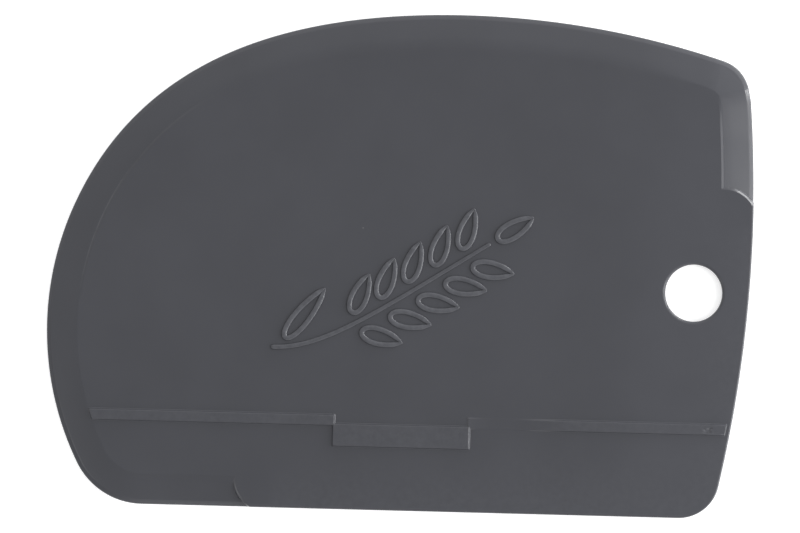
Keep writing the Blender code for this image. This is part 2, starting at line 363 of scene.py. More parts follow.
class Studio(bpy.types.PropertyGroup):
    """Light and floor of the studio"""

    floor_colour: as_colour("Floor colour", "Pale matt floor", "#efefef")
    floor_glow: brightness(
        "Floor glow", "Light that the floor gives of itself, as a light table does", 0.45
    )
    key_power: in_watts("Key light", "Power of the compact light beyond the right-hand corner", 0.72)
    low_power: in_watts("Low light", "Power of the long light low behind the right-hand corner", 3.0)
    side_power: in_watts("Side light", "Power of the long light on the right", 3.1)
    fill_power: in_watts("Fill light", "Power of the faint light beyond the lower left-hand corner", 0.35)
    scrim_power: in_watts("Scrim", "Power of the faint light high on the right", 1.25)
    zenith: brightness("Zenith", "Brightness of the room straight above", 0.58)
    horizon: brightness("Horizon", "Brightness of the room all round", 1.19)


def inward(heading):
    """Unit vector into the plate, square to the direction of travel"""
    return 1j * rect(1.0, heading)


def heading_on(centre, point):
    """Direction of travel where an arc about centre passes point, from 0 to a full turn"""
    return (phase(point - centre) + pi / 2) % (2 * pi)


def height_on_arc(centre, radius, y, side):
    """Point of an arc at a given y, on its right (1) or left (-1)"""
    return complex(centre.real + side * sqrt(radius ** 2 - (y - centre.imag) ** 2), y)


# Points where one part of the edge passes into the next
SIDE_RUNOUT = height_on_arc(SIDE_CENTRE, SIDE_RADIUS, STRAIGHT_EDGE + SIDE_RUNOUT_HEIGHT, 1)
SLANT_START = height_on_arc(SIDE_CENTRE, SIDE_RADIUS, WIDTH / 2 - SLANT_DROP, 1)
SHOULDER = height_on_arc(LEFT_CENTRE, LEFT_RADIUS, STRAIGHT_EDGE + SHOULDER_HEIGHT, -1)
FOOT_RUNOUT = complex(RIGHT - FOOT_RUNOUT_FROM_RIGHT, STRAIGHT_EDGE)


def corner_centre(line_point, heading, centre, radius, corner, side):
    """Centre of a corner that touches a line and an arc, ahead (1) or behind (-1) along the line"""
    base = line_point + corner * inward(heading)
    offset = (centre - base) / rect(1.0, heading)
    reach = sqrt((radius - corner) ** 2 - offset.imag ** 2)
    return base + (offset.real + side * reach) * rect(1.0, heading)


def arc(centre, radius, start, end):
    """Edge stations along an arc, each a point and the vector that leads from it into the plate"""
    step = 2 * acos(1 - CURVE_TOLERANCE / radius)
    count = max(2, ceil((end - start) / step))
    vectors = [inward(start + (end - start) * index / count) for index in range(count + 1)]
    return [(centre - radius * vector, vector) for vector in vectors]


def crest_curve():
    """Edge stations between the crest and the shoulder, on a cubic curve tangent to its neighbours"""
    first_handle = CREST - CREST_HANDLE
    last_handle = SHOULDER - SHOULDER_HANDLE * rect(1.0, heading_on(LEFT_CENTRE, SHOULDER))
    stations = []
    for index in range(1, CREST_CURVE_STEPS):
        t = index / CREST_CURVE_STEPS
        u = 1 - t
        point = u ** 3 * CREST + 3 * u * u * t * first_handle
        point += 3 * u * t * t * last_handle + t ** 3 * SHOULDER
        travel = u * u * (first_handle - CREST) + 2 * u * t * (last_handle - first_handle)
        travel += t * t * (SHOULDER - last_handle)
        stations.append((point, inward(phase(travel))))
    return stations


def top_corner():
    """Centre of the upper right-hand corner, and the directions of travel at its ends"""
    slant_heading = pi / 2 + SLANT_LEAN
    corner = corner_centre(SLANT_START, slant_heading, TOP_CENTRE, TOP_RADIUS, CORNER_RADIUS, 1)
    return corner, slant_heading, heading_on(TOP_CENTRE, corner)


def lip_stations():
    """Edge stations along the lip, from its run-out on the right side to that on the straight edge"""
    corner, slant_heading, top_heading = top_corner()
    bend_heading = heading_on(SIDE_CENTRE, SLANT_START)
    side = arc(SIDE_CENTRE, SIDE_RADIUS, heading_on(SIDE_CENTRE, SIDE_RUNOUT), bend_heading)
    before, after = inward(bend_heading), inward(slant_heading)
    bend = (SLANT_START, (before + after) / (1 + (before * after.conjugate()).real))
    bent = arc(corner, CORNER_RADIUS, slant_heading, top_heading)
    top = arc(TOP_CENTRE, TOP_RADIUS, top_heading, pi)

    heel = corner_centre(1j * STRAIGHT_EDGE, 0.0, LEFT_CENTRE, LEFT_RADIUS, HEEL_RADIUS, -1)
    heel_heading = heading_on(LEFT_CENTRE, heel)
    left = arc(LEFT_CENTRE, LEFT_RADIUS, heading_on(LEFT_CENTRE, SHOULDER), heel_heading)
    heel_corner = arc(heel, HEEL_RADIUS, heel_heading, 2 * pi)
    curved = side[:-1] + [bend] + bent + top[1:] + crest_curve() + left + heel_corner[1:]
    return curved + [(FOOT_RUNOUT, inward(0.0))]


def plain_stations():
    """Edge stations of the full-thickness stretch, between the ends of the lip"""
    foot = corner_centre(1j * STRAIGHT_EDGE, 0.0, SIDE_CENTRE, SIDE_RADIUS, FOOT_RADIUS, 1)
    side_heading = heading_on(SIDE_CENTRE, foot)
    corner = arc(foot, FOOT_RADIUS, 0.0, side_heading)
    side = arc(SIDE_CENTRE, SIDE_RADIUS, side_heading, heading_on(SIDE_CENTRE, SIDE_RUNOUT))
    return [(FOOT_RUNOUT, inward(0.0))] + corner + side[1:]


def refined(stations, runouts):
    """The same stations with more between them, close together beside the walls of the run-outs"""
    # The walls meet the edge between these distances from their run-outs
    near, far = 2.4 * MM, 6.5 * MM
    finer = []
    for (start, first), (end, last) in zip(stations, stations[1:]):
        middle = (start + end) / 2
        length = abs(end - start)
        pieces = max(1, ceil(length / STATION_SPACING))
        cuts = [index / pieces for index in range(pieces)]
        if any(abs(middle - place) < far + length for place, _ in runouts):
            fine = max(1, ceil(length / FINE_SPACING))
            for index in range(fine):
                place = start + (end - start) * index / fine
                if any(near < abs(place - runout) < far for runout, _ in runouts):
                    cuts.append(index / fine)
        cuts = sorted(set(cuts))
        kept = [cuts[0]]
        for cut in cuts[1:]:
            if (cut - kept[-1]) * length > FINE_SPACING / 2:
                kept.append(cut)
        finer += [(start + (end - start) * t, first + (last - first) * t) for t in kept]
    return finer + [stations[-1]]


def line_at(stations, inset):
    """Points at an inset from the edge stations"""
    return [point + inset * vector for point, vector in stations]


def round_insets(radius):
    """Insets at which a quarter round turns by equal angles, and a guard line past it"""
    turns = [radius * (1 - cos(pi / 2 * index / ROUND_STEPS)) for index in range(ROUND_STEPS + 1)]
    return turns + [radius + GUARD]


def offset_outline(corners, distance):
    """Outline at a distance outside a convex polygon, with round corners, or mitred inside it"""
    points = []
    for index, corner in enumerate(corners):
        before = phase(corner - corners[index - 1]) - pi / 2
        after = phase(corners[(index + 1) % len(corners)] - corner) - pi / 2
        turn = (after - before) % (2 * pi)
        if distance <= 0:
            points.append(corner + distance / cos(turn / 2) * rect(1.0, before + turn / 2))
            continue
        turns = [before + turn * k / ROUND_STEPS for k in range(ROUND_STEPS + 1)]
        points += [corner + distance * rect(1.0, heading) for heading in turns]
    even = []
    for start, end in zip(points, points[1:] + points[:1]):
        pieces = ceil(abs(end - start) / STATION_SPACING)
        even += [start + (end - start) * k / pieces for k in range(pieces)]
    return even


def relief_outlines():
    """Top outlines of the ridge's left half, its right half and the tab"""
    left_arc = LEFT_RADIUS - LIP_WIDTH - RIDGE_LIP_GAP
    side_arc = SIDE_RADIUS - RIDGE_END_MARGIN
    left_half = [
        height_on_arc(LEFT_CENTRE, left_arc, RIDGE_LOW, -1),
        complex(TAB_LEFT, RIDGE_LOW),
        complex(TAB_LEFT, RIDGE_HIGH),
        height_on_arc(LEFT_CENTRE, left_arc, RIDGE_HIGH, -1),
    ]
    right_half = [
        complex(TAB_RIGHT, RIDGE_LOW),
        height_on_arc(SIDE_CENTRE, side_arc, RIDGE_LOW, 1),
        height_on_arc(SIDE_CENTRE, side_arc, RIDGE_HIGH, 1),
        complex(TAB_RIGHT, RIDGE_HIGH),
    ]
    tab = [
        complex(TAB_LEFT, TAB_LOW),
        complex(TAB_RIGHT, TAB_LOW),
        complex(TAB_RIGHT, RIDGE_LOW),
        complex(TAB_LEFT, RIDGE_LOW),
    ]
    return left_half, right_half, tab


def hole_line(distance):
    """Circle at a distance outside the wall of the hang hole"""
    radius = HOLE_RADIUS + distance
    return [HOLE_CENTRE + rect(radius, 2 * pi * k / HOLE_SIDES) for k in range(HOLE_SIDES)]


class PlanLines:
    """Points and lines in plan, and their triangulation"""

    def __init__(self):
        self.points = []
        self.edges = []

    def add(self, places, closed=False, joined=True):
        """Adds a line of points, or loose ones, and gives their numbers"""
        first = len(self.points)
        self.points += places
        numbers = list(range(first, len(self.points)))
        if joined:
            self.edges += list(zip(numbers, numbers[1:]))
        if closed:
            self.edges.append((numbers[-1], numbers[0]))
        return numbers

    def triangles(self, outline):
        """Points, triangles of the face, and where each given point, such as the outline's, landed"""
        given = [Vector((point.real / MM, point.imag / MM)) for point in self.points]
        whole_hull, tolerance = 0, 1e-5
        made = delaunay_2d_cdt(given, self.edges, [], whole_hull, tolerance)
        points = [complex(place.x, place.y) * MM for place in made[0]]
        landed = {old: new for new, olds in enumerate(made[3]) for old in olds}
        edge = {landed[number] for number in outline}
        kept = []
        for corners in made[2]:
            middle = sum(points[corner] for corner in corners) / 3
            in_hole = abs(middle - HOLE_CENTRE) < HOLE_RADIUS * cos(pi / HOLE_SIDES)
            # Three corners on the outline: a sliver outside it, where the edge is nearly straight
            if not in_hole and not edge.issuperset(corners):
                kept.append(tuple(corners))
        return points, kept, landed


def distance_from(points, outline):
    """Distance of each point from a closed outline"""
    places = np.array(points)[:, None]
    start = np.array(outline)[None, :]
    run = np.roll(start, -1, axis=1) - start
    along = np.clip(((places - start) * run.conj()).real / abs(run) ** 2, 0, 1)
    return abs(places - start - along * run).min(axis=1)


def distance_beside(points, corners):
    """Distance of each point outside a convex outline, less than 0 within it"""
    places = np.array(points)[:, None]
    start = np.array(corners)[None, :]
    run = np.roll(start, -1, axis=1) - start
    inside = (((places - start) * run.conj()).imag > 0).all(axis=1)
    return np.where(inside, -1, 1) * distance_from(points, corners)


def beside_relief(points):
    """Distances outside the tab and the ridge's left half, and outside its right half"""
    left_half, right_half, tab = relief_outlines()
    low, high = right_half[1:3]
    past_end = -((np.array(points) - low) / (high - low)).imag * abs(high - low)
    left = np.minimum(distance_beside(points, left_half), distance_beside(points, tab))
    # The wall at the right end is steeper: distances past it count for more
    right = np.maximum(distance_beside(points, right_half), END_WALL_STEEPNESS * past_end)
    return left, right


def past_crease(points, inset):
    """Distance of each point beyond the lip's crease, which is mitred round the upper right corner"""
    corner, first, last = top_corner()
    half = (last - first) / 2
    middle = -inward((first + last) / 2)
    places = np.array(points)
    apex = corner + LIP_CORNER_RADIUS / cos(half) * middle
    facets = [((places - apex) / -inward(heading)).real for heading in (first, last)]
    turned = np.angle((places - corner) / middle)
    at_corner = (abs(turned) < half) & (abs(places - corner) < CORNER_RADIUS + GUARD)
    beyond = np.where(at_corner, np.max(facets, axis=0), LIP_WIDTH - inset)
    # A slightly steeper facet cuts across the corner. It starts a little down the side's crease.
    facet_start = apex - CORNER_FACET_DROP * rect(1.0, first)
    facet = ((places - facet_start) / -inward(first + CORNER_FACET_TURN)).real
    near = abs(places - facet_start) < CORNER_FACET_REACH
    return np.where(near, np.maximum(beyond, CORNER_FACET_SLOPE * facet), beyond)


def corner_places():
    """Loose points, close together, over the lip's facets at the upper right corner"""
    corner, first, last = top_corner()
    places = []
    radius, clear_of_edge = LIP_CORNER_RADIUS / 2, 0.5 * MM
    while radius < CORNER_RADIUS - clear_of_edge:
        steps = ceil(radius * (last - first) / FINE_SPACING)
        for index in range(steps + 1):
            places.append(corner - radius * inward(first + (last - first) * index / steps))
        radius += FINE_SPACING
    return places


def dent_places():
    """Loose points, close together, where knocks have dented the ridge"""
    count = ceil(DENTS_REACH / FINE_SPACING)
    steps = [k * FINE_SPACING for k in range(-count, count + 1)]
    # The ridge is narrow, so the rows stand closer across it
    closer = 0.55
    return [DENTS_CENTRE + complex(x, closer * y) for x in steps for y in steps]


def runout_places(runouts):
    """Loose points, close together, over the round walls in which the lip ends"""
    places = []
    clear_of_edge = 0.1 * MM
    for (point, vector), side in zip(runouts, (1, -1)):
        centre = point + LIP_WIDTH * vector
        radius = RUNOUT_RADIUS + FOOT_WALL_START - GUARD
        while radius < RUNOUT_RADIUS + RUNOUT_SPREAD:
            steps = ceil(radius * pi / 2 / FINE_SPACING)
            for index in range(steps + 1):
                turn = side * pi / 2 * index / steps
                place = centre - radius * vector * rect(1.0, turn)
                inset = ((place - point) / vector).real
                if inset > clear_of_edge:
                    places.append(place)
            radius += RUNOUT_ROW_SPACING
    return places


def plan_mesh():
    """Flat mesh of both faces and the walls between them, with the distances that shape them"""
    lip, plain = lip_stations(), plain_stations()
    runouts = lip[0], lip[-1]
    lip, plain = refined(lip, runouts), refined(plain, runouts)
    stations = lip[:-1] + plain[:-1]
    sizes = bpy.context.scene.scraper_plate

    front, back = PlanLines(), PlanLines()
    rims = {}
    for side, lines in (("front", front), ("back", back)):
        for inset in round_insets(sizes.edge_round):
            numbers = lines.add(line_at(stations, inset), closed=True)
            rims.setdefault(side, [numbers])
        for distance in round_insets(sizes.hole_round):
            numbers = lines.add(hole_line(distance), closed=True)
            if distance == 0:
                rims[side].append(numbers)

    # Rows where the surface bends: at the rim, across the fine step and across the soft crease
    rim = [sizes.rim_width + k * GUARD for k in range(-2, 3)]
    crease = [LIP_WIDTH + k * sizes.step_width / 5 for k in range(-2, 8)]
    soft_crease = [LIP_WIDTH + k * SOFT_CREASE_SPACING for k in (-4, -3, -2, -1, 1, 2, 3)]
    for inset in rim + crease + soft_crease:
        front.add(line_at(lip, inset))
    for places in (runout_places(runouts), corner_places(), dent_places()):
        front.add(places, joined=False)
    for outline in relief_outlines():
        walls = [sizes.relief_wall * k / WALL_STEPS for k in range(WALL_STEPS + 1)]
        for distance in [-sizes.relief_wall, -GUARD] + walls + [sizes.relief_wall + GUARD]:
            front.add(offset_outline(outline, distance), closed=True)

    front_points, front_faces, front_landed = front.triangles(rims["front"][0])
    back_points, back_faces, back_landed = back.triangles(rims["back"][0])
    count = len(front_points)
    faces = front_faces + [tuple(count + k for k in reversed(face)) for face in back_faces]
    for way, upper, lower in zip((1, -1), rims["front"], rims["back"]):
        top = [front_landed[k] for k in upper][::way]
        bottom = [count + back_landed[k] for k in lower][::way]
        for k in range(len(top)):
            after = (k + 1) % len(top)
            faces.append((bottom[k], bottom[after], top[after], top[k]))

    points = front_points + back_points
    mesh = bpy.data.meshes.new("plate_plan")
    mesh.from_pydata([(point.real, point.imag, 0.0) for point in points], [], faces)
    places = np.array(points)
    outline = line_at(stations, 0.0)
    beyond = np.full(len(points), -RUNOUT_RADIUS)
    ends = [point + LIP_WIDTH * vector for point, vector in runouts]
    ahead = ((places - runouts[0][0]) / (-1j * runouts[0][1])).real > 0
    on_lip = ahead | (places.real < runouts[1][0].real)
    nearest = np.minimum(abs(places - ends[0]), abs(places - ends[1])) - RUNOUT_RADIUS
    beyond[on_lip] = nearest[on_lip]
    inset = distance_from(points, outline)
    beside_left, beside_right = beside_relief(points)
    values = {
        "front": np.arange(len(points)) < count,
        "inset": inset,
        "past_crease": past_crease(points, inset),
        "bore": abs(places - HOLE_CENTRE) - HOLE_RADIUS,
        "beyond_runout": beyond,
        "beside_left": beside_left,
        "beside_right": beside_right,
    }
    for name, numbers in values.items():
        kind = "BOOLEAN" if numbers.dtype == bool else "FLOAT"
        attribute = mesh.attributes.new(name, kind, "POINT")
        attribute.data.foreach_set("value", numbers.astype(bool if kind == "BOOLEAN" else np.float32))
    return mesh


def add_node(tree, kind, inputs=(), **settings):
    """New node with its settings; inputs are values, nodes or sockets, in order or by name"""
    # Where names repeat, sockets go by number. A Mix has its factor at 0, two numbers at 2 and 3, two
    # colours at 6 and 7 and the colour that it makes at output 2. A Trim Curve has its start and end
    # factors at 2 and 3.
    made = tree.nodes.new(kind)
    for name, value in settings.items():
        setattr(made, name, value)
    pairs = inputs.items() if isinstance(inputs, dict) else enumerate(inputs)
    for key, value in pairs:
        if isinstance(value, bpy.types.Node):
            value = value.outputs[0]
        if isinstance(value, bpy.types.NodeSocket):
            tree.links.new(value, made.inputs[key])
        else:
            made.inputs[key].default_value = value
    return made


def group_values(group):
    """Values of a property group by the names of a tree's inputs: edge_round is Edge Round"""
    names = type(group).__annotations__
    return {name.replace("_", " ").title(): getattr(group, name) for name in names}


def socket_kinds(values):
    """Kind of socket for each named value"""
    kinds = {int: "NodeSocketInt", float: "NodeSocketFloat", tuple: "NodeSocketVector"}
    return {name: kinds[type(value)] for name, value in values.items()}


def new_tree(name, inputs, outputs):
    """Geometry Nodes tree with named inputs and outputs, and its group input and output nodes"""
    tree = bpy.data.node_groups.new(name, "GeometryNodeTree")
    for label, kind in inputs.items():
        tree.interface.new_socket(label, in_out="INPUT", socket_type=kind)
    for label, kind in outputs.items():
        tree.interface.new_socket(label, in_out="OUTPUT", socket_type=kind)
    return tree, add_node(tree, "NodeGroupInput"), add_node(tree, "NodeGroupOutput")


def quarter_round():
    """Node group, made once: how far a rounded edge falls at a distance from it"""
    if "quarter_round" in bpy.data.node_groups:
        return bpy.data.node_groups["quarter_round"]
    number = "NodeSocketFloat"
    sizes = dict.fromkeys(("Distance", "Width", "Depth"), number)
    tree, given, result = new_tree("quarter_round", sizes, {"Drop": number})
    node = partial(add_node, tree)
    share = node(MATH, (given.outputs["Distance"], given.outputs["Width"]), operation="DIVIDE")
    left = node(MATH, (1.0, share), operation="SUBTRACT", use_clamp=True)
    square = node(MATH, (left, left), operation="MULTIPLY")
    rest = node(MATH, (1.0, square), operation="SUBTRACT", use_clamp=True)
    root = node(MATH, (rest,), operation="SQRT")
    fall = node(MATH, (1.0, root), operation="SUBTRACT")
    drop = node(MATH, (fall, given.outputs["Depth"]), operation="MULTIPLY")
    tree.links.new(drop.outputs[0], result.inputs["Drop"])
    return tree


def finished(node, geometry, rubbed, material):
    """End of a tree: smooth and real faces, how much of the paler colour each of their points takes, for
    wear and, on the plate, for a painted highlight line, and the material
    """
    smooth = node("GeometryNodeSetShadeSmooth", (geometry,))
    real = node("GeometryNodeRealizeInstances", (smooth,))
    stored = node(
        "GeometryNodeStoreNamedAttribute", {"Geometry": real, "Name": "rubbed", "Value": rubbed},
        data_type="FLOAT",
    )
    return node("GeometryNodeSetMaterial", {"Geometry": stored, "Material": material})


def relief_tree(material, values):
    """Geometry Nodes: lifts the flat plan to the plate's real heights, from its distances"""
    mesh = {"Geometry": "NodeSocketGeometry"}
    tree, given, result = new_tree("moulded_relief", {**mesh, **socket_kinds(values)}, mesh)
    node = partial(add_node, tree)
    size = given.outputs
    distances = ("inset", "past_crease", "bore", "beyond_runout", "beside_left", "beside_right")
    field = {
        name: node("GeometryNodeInputNamedAttribute", (name,), data_type=kind).outputs[0]
        for name, kind in {"front": "BOOLEAN", **dict.fromkeys(distances, "FLOAT")}.items()
    }
    place = node("GeometryNodeInputPosition")
    axes = node("ShaderNodeSeparateXYZ", (place,))
    field.update(x=axes.outputs["X"], y=axes.outputs["Y"])

    at_edge, at_bore, at_rim = [
        node("GeometryNodeGroup", (field[distance], size[radius], size[radius]),
             node_tree=quarter_round())
        for distance, radius in (
            ("inset", "Edge Round"), ("bore", "Hole Round"), ("inset", "Rim Round")
        )
    ]
    rounds = node(MATH, (at_edge, at_bore), operation="MAXIMUM")
    full = node(MATH, (size["Thickness"], rounds), operation="SUBTRACT")

    fall = node(MATH, (size["Thickness"], size["Lip Edge"]), operation="SUBTRACT")
    out = node(MATH, (field["past_crease"], size["Lip Width"]), operation="DIVIDE")
    sunk = node(MATH, (out, fall), operation="MULTIPLY")
    flat = node(MATH, (size["Thickness"], sunk), operation="SUBTRACT")
    in_share = node(MATH, (1.0, out), operation="SUBTRACT", use_clamp=True)
    bulge = node(MATH, (in_share, out), operation="MULTIPLY", use_clamp=True)
    # A share times what is left of the whole is a quarter in the middle of the lip
    crown = node(MATH, (size["Lip Crown"], 4.0), operation="MULTIPLY")
    crowned = node(MATH, (bulge, crown, flat), operation="MULTIPLY_ADD")
    steeper = node(MATH, (size["Rim Drop"], size["Rim Width"]), operation="DIVIDE")
    off_rim = node(MATH, (size["Rim Width"], field["inset"]), operation="SUBTRACT")
    fallen = node(MATH, (off_rim, steeper), operation="MULTIPLY")
    rim = node(MATH, (crowned, fallen), operation="SUBTRACT")
    ground = node(MATH, (crowned, rim, size["Crease Round"]), operation="SMOOTH_MIN")
    to_top = node(MAP_RANGE, (field["y"], *SOFT_TOP_SPAN, size["Crease Round"], size["Top Crease Round"]))
    softness = node(MAP_RANGE, (field["x"], *CRISP_END_SPAN, to_top, size["Crease Round"]))
    eased = node(MATH, (ground, size["Thickness"], softness), operation="SMOOTH_MIN")
    stepped = node(MATH, (eased, crease_step(node, field, size)), operation="SUBTRACT")
    lip = node(MATH, (stepped, at_rim), operation="SUBTRACT")
    wall = runout_wall(node, field, size)
    cut = node(MATH, (lip, wall, size["Crease Round"]), operation="SMOOTH_MAX")
    face = node(MATH, (full, cut), operation="MINIMUM")

    right_rise = faded_rise(node, field, size)
    steps = [
        node(MAP_RANGE, (field[name], size["Relief Wall"], 0.0, 0.0, rise),
             interpolation_type="SMOOTHSTEP")
        for name, rise in (("beside_left", size["Relief Rise"]), ("beside_right", right_rise))
    ]
    raised_part = node(MATH, steps, operation="MAXIMUM")
    relief = node(MATH, (face, raised_part), operation="ADD")
    top = node(MATH, (relief, dents(node, size, place)), operation="SUBTRACT")
    height = node("GeometryNodeSwitch", (field["front"], rounds, top), input_type="FLOAT")
    raised = node("ShaderNodeCombineXYZ", (field["x"], field["y"], height))
    lifted = node("GeometryNodeSetPosition", {"Geometry": size["Geometry"], "Position": raised})

    # Wear, and a painted highlight line along the left crease, as shares of the paler colour
    painted = finished(node, lifted, wear_and_highlight_share(node, field, size, right_rise), material)
    tree.links.new(painted.outputs[0], result.inputs["Geometry"])
    return tree


def chamfered_wall(node, distance, chamfer, tilt, draft):
    """Depth of a wall at a distance past its top edge, with a chamfer above its drafted part"""
    slope = node(MATH, (tilt,), operation="TANGENT")
    lean = node(MATH, (draft,), operation="TANGENT")
    upper = node(MATH, (distance, slope), operation="MULTIPLY")
    chamfer_depth = node(MATH, (chamfer, slope), operation="MULTIPLY")
    past = node(MATH, (distance, chamfer), operation="SUBTRACT")
    drafted = node(MATH, (past, lean), operation="DIVIDE")
    lower = node(MATH, (drafted, chamfer_depth), operation="ADD")
    return node(MATH, (upper, lower), operation="MAXIMUM")


def runout_wall(node, field, size):
    """Height of the two round walls in which the lip ends"""
    past_side, past_foot = [
        node(MATH, (field["beyond_runout"], start), operation="SUBTRACT")
        for start in (WALL_START, FOOT_WALL_START)
    ]
    side = chamfered_wall(node, past_side, size["Side Chamfer"], size["Side Chamfer Tilt"],
                          size["Side Draft"])
    # Close to the straight edge the wall stands almost upright
    steeper = node(MAP_RANGE, (field["inset"], *FOOT_BASE_SPAN, 0.0, size["Foot Draft"]))
    draft = node(MATH, (steeper, FOOT_LEAST_DRAFT), operation="MAXIMUM")
    foot = chamfered_wall(node, past_foot, size["Foot Chamfer"], size["Foot Chamfer Tilt"], draft)
    on_right = node(MATH, (field["x"], 0.0), operation="GREATER_THAN")
    depth = node("ShaderNodeMix", {0: on_right, 2: foot, 3: side})
    wall = node(MATH, (size["Thickness"], depth), operation="SUBTRACT")
    return node(MATH, (wall, size["Thickness"]), operation="MINIMUM")


def dents(node, size, place):
    """Depth of the small dents in the ridge"""
    apart = node("ShaderNodeVectorMath", (place, size["Dents Centre"]),
                 operation="DISTANCE").outputs["Value"]
    share = node(MAP_RANGE, (apart, size["Dents Reach"], 0.0, 0.0, size["Dent Depth"]),
                 interpolation_type="SMOOTHSTEP")
    noise = node("ShaderNodeTexNoise", {"Vector": place, "Scale": 1 / DENT_GRAIN, "Detail": 1.0})
    # Only the peaks of the noise make dents
    patchy = node(MAP_RANGE, (noise, 0.42, 0.6, 0.0, 1.3))
    return node(MATH, (share, patchy), operation="MULTIPLY")


def crease_step(node, field, size):
    """Drop of the fine step that the mould's joint leaves just inside the crease, near the ends"""
    off_middle = node(MATH, (field["x"],), operation="ABSOLUTE")
    full_from = node(MATH, (size["Step From"], STEP_END_SPAN), operation="ADD")
    at_ends = node(MAP_RANGE, (off_middle, size["Step From"], full_from, 0.0, size["Step Drop"]))
    upper = node(MAP_RANGE, (field["y"], *STEP_LOW_SPAN, 0.0, at_ends))
    below_top = node(MAP_RANGE, (field["y"], *STEP_TOP_SPAN, upper, 0.0))
    start = node(MATH, (size["Step Width"], -1.0), operation="MULTIPLY")
    return node(MAP_RANGE, (field["past_crease"], start, 0.0, 0.0, below_top))


def faded_rise(node, field, size):
    """Rise of the ridge's right half: it sinks away beside the tab and comes up again further on"""
    beside_tab, least = FLUSH_SHARES
    fade_start = node(MATH, (size["Tab Right"], size["Ridge Flush"]), operation="ADD")
    fade_end = node(MATH, (fade_start, size["Ridge Fade"]), operation="ADD")
    come_up = node(MAP_RANGE, (field["x"], fade_start, fade_end, least, 1.0),
                   interpolation_type="SMOOTHSTEP")
    sunk_at = node(MATH, (size["Tab Right"], FLUSH_SPAN), operation="ADD")
    sink = node(MAP_RANGE, (field["x"], size["Tab Right"], sunk_at, beside_tab, 0.0))
    share = node(MATH, (come_up, sink), operation="MAXIMUM")
    return node(MATH, (size["Relief Rise"], share), operation="MULTIPLY")


def wear_and_highlight_share(node, field, size, right_rise):
    """How much of the paler colour each point takes: rubbed along the rim and on the ridge, and a painted
    highlight line along the left crease
    """
    share = node(MAP_RANGE, (field["inset"], 0.0, size["Rim Width"], RUBBED_RIM, 0.0))
    right_strength = node(MATH, (right_rise, size["Relief Rise"]), operation="DIVIDE")
    for name, strength in (("beside_left", 1.0), ("beside_right", right_strength)):
        ridge = node(MAP_RANGE, (field[name], 0.0, size["Relief Wall"], RUBBED_RIDGE, 0.0))
        weighted = node(MATH, (ridge, strength), operation="MULTIPLY")
        share = node(MATH, (share, weighted), operation="MAXIMUM")
    # Painted highlight: a paler line along the upper left part of the lip's crease, standing in for light
    # caught there
    off_crease = node(MATH, (field["past_crease"],), operation="ABSOLUTE")
    crease = node(MAP_RANGE, (off_crease, 0.0, PAINTED_HIGHLIGHT_WIDTH, PAINTED_HIGHLIGHT_SHARE, 0.0))
    upper = node(MAP_RANGE, (field["y"], *PAINTED_HIGHLIGHT_LOW_SPAN, 0.0, crease))
    painted_highlight_line = node(MAP_RANGE, (field["x"], *PAINTED_HIGHLIGHT_LEFT_SPAN, 0.0, upper))
    return node(MATH, (share, painted_highlight_line), operation="MAXIMUM")


def grown_piece(name, mesh, tree, values):
    """Object whose mesh is what a Geometry Nodes tree makes of the given one"""
    made = bpy.data.objects.new(name, mesh)
    bpy.context.scene.collection.objects.link(made)
    modifier = made.modifiers.new(tree.name, "NODES")
    modifier.node_group = tree
    sockets = {item.name: item.identifier for item in tree.interface.items_tree
               if item.item_type == "SOCKET" and item.in_out == "INPUT"}
    for label, value in values.items():
        modifier[sockets[label]] = value
    graph = bpy.context.evaluated_depsgraph_get()
    grown = bpy.data.meshes.new_from_object(
        made.evaluated_get(graph), preserve_all_data_layers=True, depsgraph=graph
    )
    if not grown.polygons:
        raise RuntimeError(f"{tree.name} made no faces for {name}")
    made.modifiers.remove(modifier)
    made.data = grown
    bpy.data.meshes.remove(mesh)
    return made


